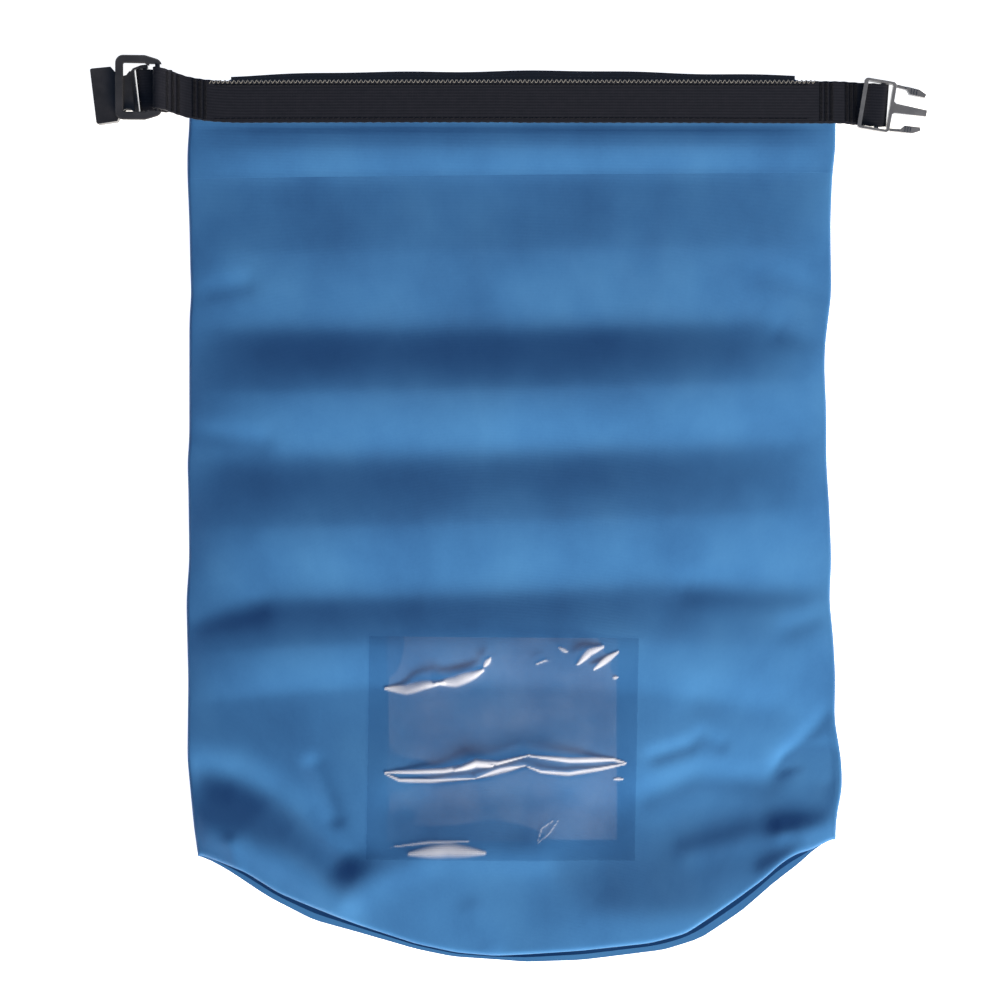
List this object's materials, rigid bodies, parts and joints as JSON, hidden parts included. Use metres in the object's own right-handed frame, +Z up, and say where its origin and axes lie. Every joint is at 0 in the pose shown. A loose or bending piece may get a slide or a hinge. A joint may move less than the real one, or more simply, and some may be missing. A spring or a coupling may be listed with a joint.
{
  "type": "roll-top dry bag",
  "caption": "Flat empty roll-top dry bag of coated fabric with a folded oval base, clear window pocket, webbing mouth bands, D-ring and side-release buckle halves.",
  "frame": {"origin": "on the underside of the back panel, on the bag's centreline, halfway along its length, so the bag lies on its back on the surface", "axes": "+X to the right seen from the front, +Y towards the mouth, +Z up, out of the front panel"},
  "size_m": [0.4975, 0.5393, 0.0305],
  "materials": {
    "coated_fabric": "satin coated fabric",
    "clear_film": "clear soft vinyl film",
    "strip_plastic": "matte",
    "webbing": "woven polyester webbing",
    "thread": "polyester thread",
    "pale_thread": "polyester thread",
    "buckle_plastic": "satin moulded plastic"
  },
  "bodies": {
    "bag": {"body_tube": "coated_fabric", "base_gusset": "coated_fabric", "window_film": "clear_film"},
    "roll": {"roll_panel": "coated_fabric"},
    "mouth": {"mouth_hem": "coated_fabric", "stiffener_strip": "strip_plastic", "front_band": "webbing", "back_band": "webbing", "band_seams": "thread", "edge_stitching": "pale_thread", "left_band_tack": "thread", "right_band_tack": "thread"},
    "left_tab": {"ring_strap": "webbing", "socket_strap": "webbing", "ring_strap_tack": "thread"},
    "ring": {"d_ring": "buckle_plastic"},
    "socket": {"socket_buckle": "buckle_plastic"},
    "right_tab": {"plug_strap": "webbing", "plug_strap_tack": "thread"},
    "plug": {"plug_frame": "buckle_plastic"},
    "upper_arm": {"plug_upper_arm": "buckle_plastic"},
    "lower_arm": {"plug_lower_arm": "buckle_plastic"}
  },
  "joints": [
    {"name": "lower_fold", "type": "hinge", "parent": "bag", "child": "roll", "pos_m": [0, 0.18, 0.0158], "axis": [1, 0, 0], "range_deg": [0, 176]},
    {"name": "upper_fold", "type": "hinge", "parent": "roll", "child": "mouth", "pos_m": [0, 0.2235, 0.0097], "axis": [1, 0, 0], "range_deg": [0, 176]},
    {"name": "left_tab_fold", "type": "hinge", "parent": "mouth", "child": "left_tab", "pos_m": [-0.1952, 0.2422, 0.0055], "axis": [0, 1, 0], "range_deg": [0, 70]},
    {"name": "ring_swing", "type": "hinge", "parent": "left_tab", "child": "ring", "pos_m": [-0.211, 0.2504, 0.0094], "axis": [0, -1, 0], "range_deg": [-160, 0]},
    {"name": "socket_skew", "type": "hinge", "parent": "left_tab", "child": "socket", "pos_m": [-0.2175, 0.2492, 0.0032], "axis": [0, 0, 1], "range_deg": [-14, 0]},
    {"name": "right_tab_fold", "type": "hinge", "parent": "mouth", "child": "right_tab", "pos_m": [0.1952, 0.2422, 0.0055], "axis": [0, -1, 0], "range_deg": [0, 70]},
    {"name": "plug_skew", "type": "hinge", "parent": "right_tab", "child": "plug", "pos_m": [0.21337, 0.24102, 0.00415], "axis": [0, 0, 1], "range_deg": [-0.5, 11.5]},
    {"name": "upper_arm_squeeze", "type": "hinge", "parent": "plug", "child": "upper_arm", "pos_m": [0.22832, 0.25191, 0.00415], "axis": [0, 0, -1], "range_deg": [0, 9], "stiffness_Nm_per_rad": 0.05},
    {"name": "lower_arm_squeeze", "type": "hinge", "parent": "plug", "child": "lower_arm", "pos_m": [0.22396, 0.22587, 0.00415], "axis": [0, 0, 1], "range_deg": [0, 9], "stiffness_Nm_per_rad": 0.05}
  ]
}
